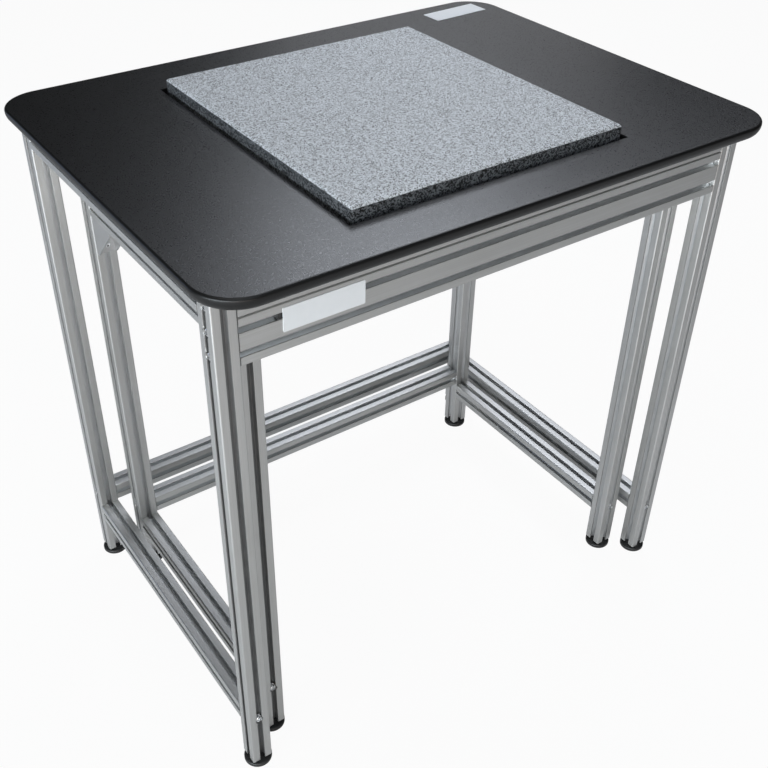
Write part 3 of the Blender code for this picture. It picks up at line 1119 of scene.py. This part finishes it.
def make_plates():
    """The plates on the worktop's back corner and on the apron, both bare."""
    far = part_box("worktop")[1]
    bare_plate("worktop_bare_plate", "worktop_plate", WORKTOP_PLATE,
               (far.x - WORKTOP_PLATE_FROM_RIGHT, far.y - WORKTOP_PLATE_FROM_BACK, far.z),
               Matrix.Rotation(WORKTOP_PLATE_TURN, 4, "Z"))
    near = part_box("apron_front")[0]
    # The apron's plate takes the darker copy of the white film, painted shade
    bare_plate("apron_bare_plate", "apron_plate_painted_shade", APRON_PLATE,
               (near.x + APRON_PLATE_FROM_LEFT, near.y, near.z + APRON_PLATE_FROM_BELOW),
               frame_from((1, 0, 0), (0, 0, 1)))


def make_nut():
    """The slot nut left in the apron's upper slot."""
    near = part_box("apron_front")[0]
    along = near.x + NUT_FROM_LEFT
    height = bore_heights("apron_front")[1]
    nut = cube("apron_slot_nut",
               (along - NUT_LENGTH / 2, near.y + NUT_FRONT, height - NUT_HEIGHT / 2),
               (along + NUT_LENGTH / 2, near.y + NUT_BACK, height + NUT_HEIGHT / 2))
    drill = cylinder("drill", NUT_THREAD / 2, -CELL, CELL, HOLE_SIDES)
    drill.data.transform(Matrix.Translation((along, near.y, height)) @ facing((0, -1, 0)))
    cut_with(nut, drill)
    round_corners(nut, NUT_ROUND)
    smooth(nut)
    coat(nut, "steel")
    fix(nut, "outer_table", "zinc_steel")


# Room, light and camera


def floor_finish():
    """Matt white for the light, and plain white to the camera and in the metal."""
    finish = Finish("studio_white")
    finish.tree.nodes.remove(finish.shader)
    ray = finish.node("ShaderNodeLightPath", {}, {})
    seen, mirrored, through = (Signal(finish, ray.outputs[f"Is {kind} Ray"])
                               for kind in ("Camera", "Glossy", "Transmission"))
    matt = finish.output(0, "ShaderNodeBsdfDiffuse", {}, {"Color": grey(FLOOR_MATT)})
    glow = finish.output(0, "ShaderNodeEmission", {}, {"Color": grey(1.0)})
    share = SEEN_WHITE * seen + MIRRORED_WHITE * (mirrored + through)
    blend = finish.output(0, "ShaderNodeMixShader", {}, {0: share, 1: matt, 2: glow})
    finish.join(finish.tree.nodes["Material Output"].inputs["Surface"], blend)
    return finish.look


def make_floor():
    """A plain pale floor, just below the feet."""
    deselect()
    bpy.ops.mesh.primitive_plane_add(size=FLOOR_SIZE, location=(0, 0, -FLOOR_DROP))
    floor = added("studio_floor")
    floor.data.materials.append(floor_finish())


def make_lamps():
    """Soft lamps round the table, all turned to its middle."""
    for name, bearing, height, size, watts, colour in LAMPS:
        out = Vector((math.cos(math.radians(height)), 0, math.sin(math.radians(height))))
        out.rotate(Matrix.Rotation(math.radians(bearing), 3, "Z"))
        lamp = bpy.data.lights.new(name, "AREA")
        lamp.shape = "RECTANGLE"
        lamp.size, lamp.size_y = size
        lamp.energy = watts
        lamp.color = colour
        holder = bpy.data.objects.new(name, lamp)
        holder.location = Vector(LAMP_TARGET) + out * LAMP_DISTANCE
        holder.rotation_euler = out.to_track_quat("Z", "Y").to_euler()
        bpy.context.scene.collection.objects.link(holder)


def make_sky():
    """White to the camera, and a faint light to everything else."""
    world = bpy.data.worlds.new("studio")
    bpy.context.scene.world = world
    world.use_nodes = True
    nodes = Nodes(world.node_tree)
    sky = nodes.tree.nodes["Background"]
    seen = nodes.output("Is Camera Ray", "ShaderNodeLightPath", {}, {})
    nodes.join(sky.inputs["Color"], grey(1.0))
    nodes.join(sky.inputs["Strength"], SKY_STRENGTH + (1 - SKY_STRENGTH) * seen)


def make_camera():
    """Stands where the photograph was taken, in front and to the left."""
    azimuth = math.radians(-34.895)
    elevation = math.radians(36.856)
    roll = math.radians(0.638)
    lens = bpy.data.cameras.new("camera")
    lens.sensor_width = 36
    lens.lens = 49.036
    lens.shift_x = 0.01841
    lens.shift_y = 0.00270
    holder = bpy.data.objects.new("camera", lens)
    holder.location = (-0.75953, -1.06905, 1.33340)
    turn = Matrix.Rotation(azimuth, 3, "Z") @ Matrix.Rotation(math.pi / 2 - elevation, 3, "X")
    holder.rotation_euler = (turn @ Matrix.Rotation(roll, 3, "Z")).to_euler()
    bpy.context.scene.collection.objects.link(holder)
    bpy.context.scene.camera = holder


bpy.context.scene.view_settings.view_transform = "Standard"
screw_master = button_screw()
make_legs(screw_master)
make_rails()
make_worktop()
make_slab()
make_brackets(screw_master)
make_buffers()
make_feet()
make_plates()
make_nut()
discard(screw_master)
make_floor()
make_lamps()
make_sky()
make_camera()
